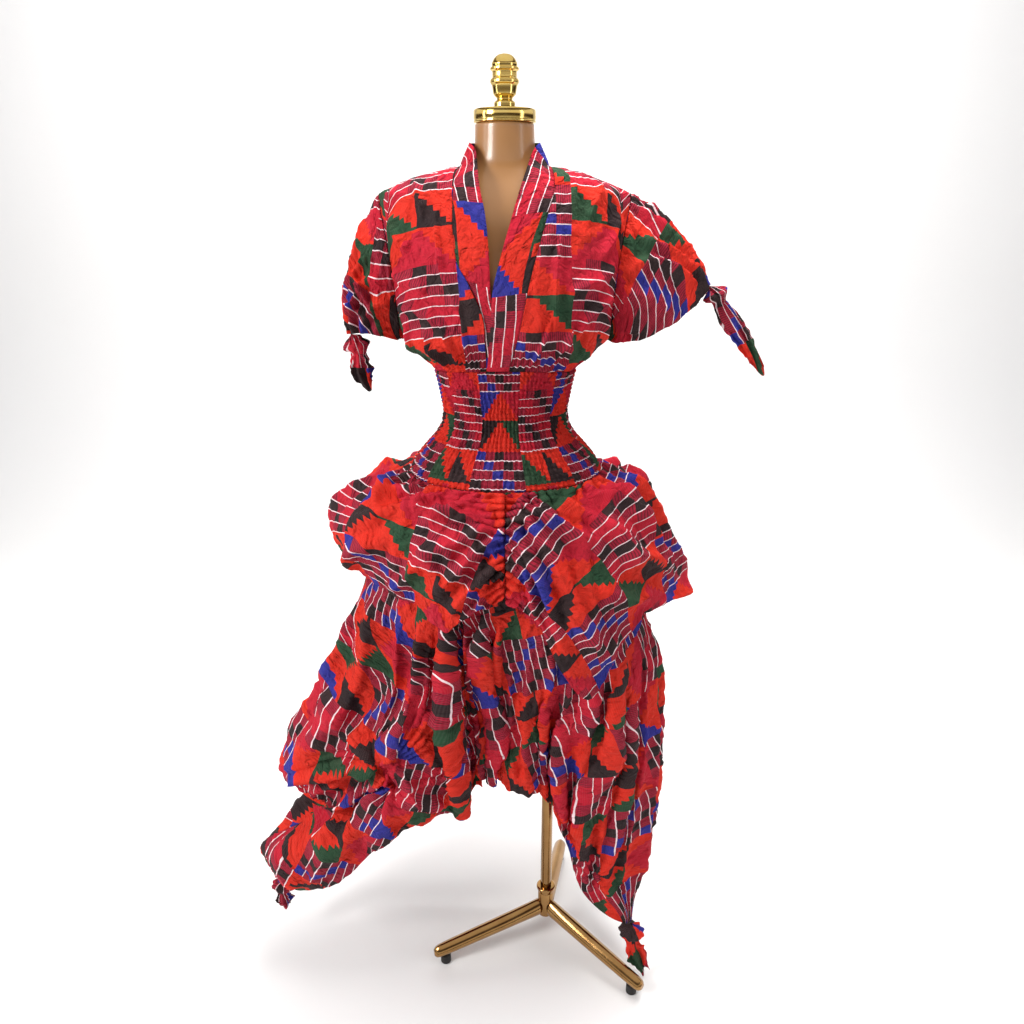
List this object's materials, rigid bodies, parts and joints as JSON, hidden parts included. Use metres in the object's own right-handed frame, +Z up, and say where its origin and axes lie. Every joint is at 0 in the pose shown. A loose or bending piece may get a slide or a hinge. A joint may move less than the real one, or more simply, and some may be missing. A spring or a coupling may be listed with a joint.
{
  "type": "handkerchief dress on a limbless dress form with a tripod stand",
  "caption": "Short sleeved printed cotton dress with a wrap front, shirred waist, draped overskirt and tied handkerchief corners, worn by a dress form on a gold tripod.",
  "frame": {"origin": "middle of the whole part's box, on the floor under the foot pads", "axes": "+Z up, the front of the dress faces -Y, +X to the right as seen from the front"},
  "size_m": [0.971, 0.4941, 1.776],
  "materials": {
    "print_cotton": "matt printed plain weave cotton, lightly creased",
    "form_plastic": "smooth glossy moulded shell",
    "cap_gold": "polished bright gold plate",
    "stand_gold": "polished darker gold tube",
    "foot_pad": "matt black rubber pad"
  },
  "bodies": {
    "root": {"neck_band_right": "print_cotton", "neck_band_left": "print_cotton", "neck_band_back": "print_cotton", "bodice_front_right": "print_cotton", "bodice_front_left": "print_cotton", "bodice_back": "print_cotton", "sleeve_right": "print_cotton", "sleeve_left": "print_cotton", "sleeve_knot_right": "print_cotton", "sleeve_knot_left": "print_cotton", "waist_front": "print_cotton", "waist_back": "print_cotton", "overskirt_left": "print_cotton", "overskirt_right": "print_cotton", "skirt_front": "print_cotton", "skirt_back": "print_cotton", "skirt_knot_left": "print_cotton", "skirt_knot_right": "print_cotton", "form_torso": "form_plastic", "neck_cap": "cap_gold", "finial": "cap_gold", "pole": "stand_gold", "stand_collar": "stand_gold", "stand_hub": "stand_gold", "leg_left": "stand_gold", "leg_right": "stand_gold", "leg_back": "stand_gold", "foot_left": "foot_pad", "foot_right": "foot_pad", "foot_back": "foot_pad"}
  },
  "joints": []
}
